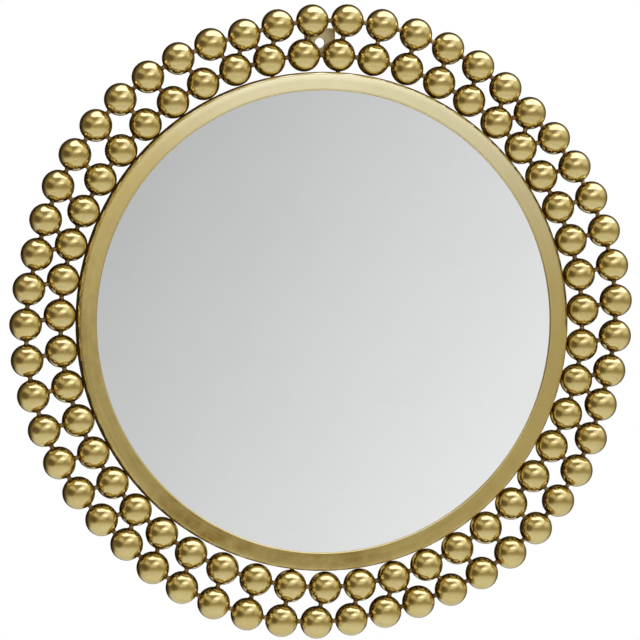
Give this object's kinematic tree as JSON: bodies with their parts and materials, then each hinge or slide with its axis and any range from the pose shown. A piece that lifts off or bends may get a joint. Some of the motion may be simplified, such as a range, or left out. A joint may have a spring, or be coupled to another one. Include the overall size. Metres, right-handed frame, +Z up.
{
  "type": "girandole mirror",
  "caption": "Round wall mirror in a brass-finished metal frame edged with two nested rows of polished balls welded together, hung by a plate with a hole.",
  "frame": {"origin": "centre of the hanging hole in the plane of the wall, on the rear face of the hanging plate", "axes": "+Y runs from the glass into the wall along the hanging hole, +Z is up and +X is to the right seen from the front"},
  "size_m": [0.7696, 0.044, 0.7697],
  "materials": {
    "brushed_brass": "brushed, lacquered, a little tarnished",
    "polished_brass": "polished",
    "weld_brass": "plated weld bead",
    "plate_brass": "satin",
    "silvered_glass": "polished",
    "tape_foam": "matte foam",
    "cork": "pressed cork",
    "board": "fibreboard",
    "plain_steel": "plain sheet",
    "zinc_screws": "zinc plated",
    "felt": "felt"
  },
  "bodies": {
    "root": {"frame_ring": "brushed_brass", "glazing_tape": "tape_foam", "mirror_glass": "silvered_glass", "glass_spacers": "cork", "backing_board": "board", "board_tabs": "plain_steel", "board_screws": "zinc_screws", "inner_balls": "polished_brass", "outer_balls": "polished_brass", "inner_row_welds": "weld_brass", "outer_row_welds": "weld_brass", "row_to_row_welds": "weld_brass", "frame_welds": "weld_brass", "plate_welds": "weld_brass", "wall_pads": "felt", "hanging_plate": "plate_brass"}
  },
  "joints": []
}
